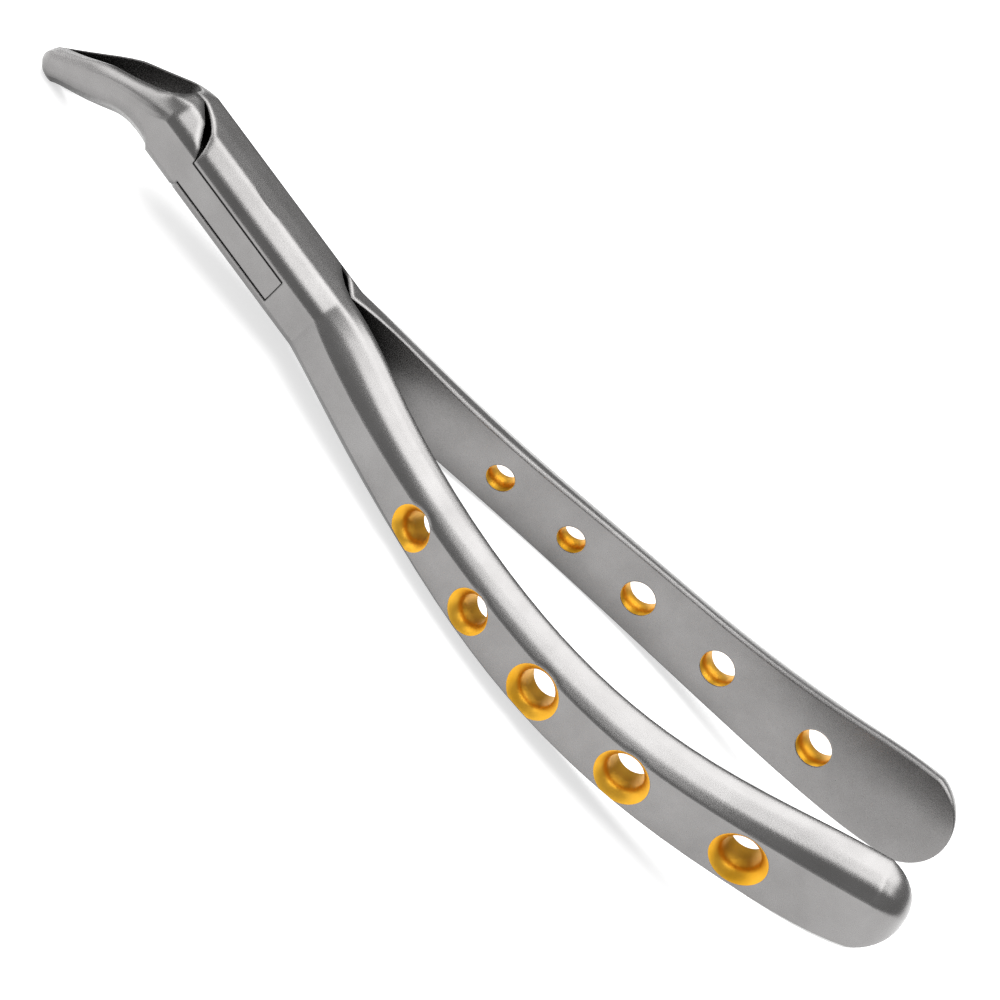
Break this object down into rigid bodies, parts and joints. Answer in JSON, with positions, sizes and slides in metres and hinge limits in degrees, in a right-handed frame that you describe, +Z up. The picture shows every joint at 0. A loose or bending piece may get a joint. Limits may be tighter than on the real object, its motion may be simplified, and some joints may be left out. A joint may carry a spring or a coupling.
{
  "type": "dental extraction forceps",
  "caption": "Upper universal extraction forceps with a box joint, bent hollow beaks and bowed handles with rows of countersunk, gold-plated holes.",
  "frame": {"origin": "on the surface the closed instrument lies on, under the middle of its bounding box", "axes": "+X from the beak tips to the handle ends, +Y from the female half's handle to the male half's handle, +Z up; the pivot axis leans from +Z towards +X by the angle at which the instrument lies"},
  "size_m": [0.1752, 0.0398, 0.0269],
  "materials": {
    "steel": "satin, fine vapour-blasted",
    "pin_steel": "satin, ground flush",
    "gold": "smooth gold-coloured plating"
  },
  "bodies": {
    "female_body": {"female_half": "steel", "pivot_pin": "pin_steel"},
    "male_body": {"male_half": "steel"}
  },
  "joints": [
    {"name": "pivot", "type": "hinge", "parent": "female_body", "child": "male_body", "pos_m": [-0.04532, 0, 0.01029], "axis": [0.1083, 0, 0.9941], "range_deg": [0, 30]}
  ]
}
